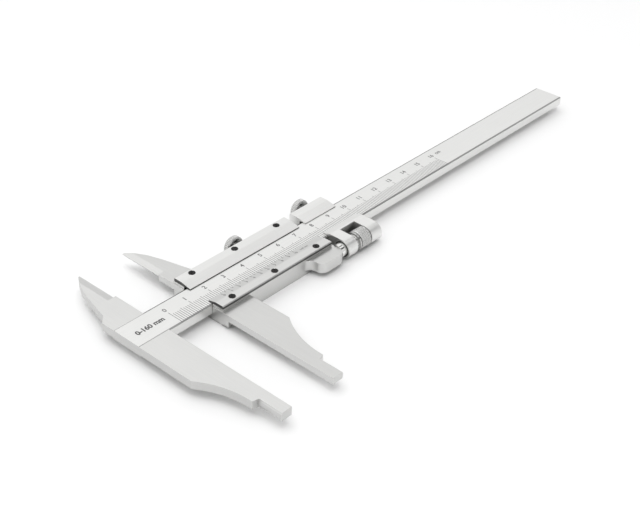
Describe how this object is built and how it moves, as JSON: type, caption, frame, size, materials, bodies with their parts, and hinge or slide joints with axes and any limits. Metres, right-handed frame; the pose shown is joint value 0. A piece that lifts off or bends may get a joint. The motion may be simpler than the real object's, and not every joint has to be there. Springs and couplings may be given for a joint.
{
  "type": "vernier caliper",
  "caption": "Vernier caliper with long nib jaws, knife-edge jaws, a screwed-on vernier plate, and a fine-feed carriage with a knurled nut and lock screws.",
  "frame": {"origin": "under the middle of the caliper's outline, on the face that it lies on, which is the back of the slider frame", "axes": "+X along the beam from the fixed jaw to the free end, +Y across the beam towards the knife-edge jaws, +Z out of the scale face"},
  "size_m": [0.273, 0.1094, 0.0096],
  "materials": {
    "beam_steel": "satin",
    "frame_steel": "ground",
    "plate_steel": "satin",
    "blackened_steel": "blackened",
    "spring_steel": "plain",
    "knurled_steel": "knurled",
    "polished_steel": "polished"
  },
  "bodies": {
    "beam": {"beam": "beam_steel"},
    "carriage": {"carriage_frame": "frame_steel", "carriage_spring": "spring_steel"},
    "slider": {"slider_frame": "frame_steel", "vernier_plate": "plate_steel", "cover_plate": "plate_steel", "vernier_plate_screws": "blackened_steel", "cover_plate_screws": "blackened_steel", "slider_spring": "spring_steel", "feed_screw": "polished_steel", "feed_screw_pin": "spring_steel"},
    "feed_nut": {"feed_nut": "knurled_steel"},
    "slider_lock": {"slider_lock_screw": "knurled_steel"},
    "carriage_lock": {"carriage_lock_screw": "knurled_steel"}
  },
  "joints": [
    {"name": "coarse_slide", "type": "slide", "parent": "beam", "child": "carriage", "axis": [1, 0, 0], "range_m": [-0.01848, 0.1365]},
    {"name": "fine_feed", "type": "slide", "parent": "carriage", "child": "slider", "axis": [1, 0, 0], "range_m": [-0.0025, 0.0025]},
    {"name": "feed_nut_turn", "type": "hinge", "parent": "carriage", "child": "feed_nut", "pos_m": [-0.0275, -0.00305, 0.00422], "axis": [1, 0, 0], "range_deg": [-1800, 1800]},
    {"name": "carriage_lock_turn", "type": "hinge", "parent": "carriage", "child": "carriage_lock", "pos_m": [-0.0282, 0.02755, 0.0052], "axis": [0, 1, 0], "range_deg": [0, 360]},
    {"name": "slider_lock_turn", "type": "hinge", "parent": "slider", "child": "slider_lock", "pos_m": [-0.0669, 0.02755, 0.0052], "axis": [0, 1, 0], "range_deg": [0, 360]}
  ],
  "couplings": [
    {"joint": "feed_nut_turn", "follows": "fine_feed", "rad_per_m": -12566}
  ]
}
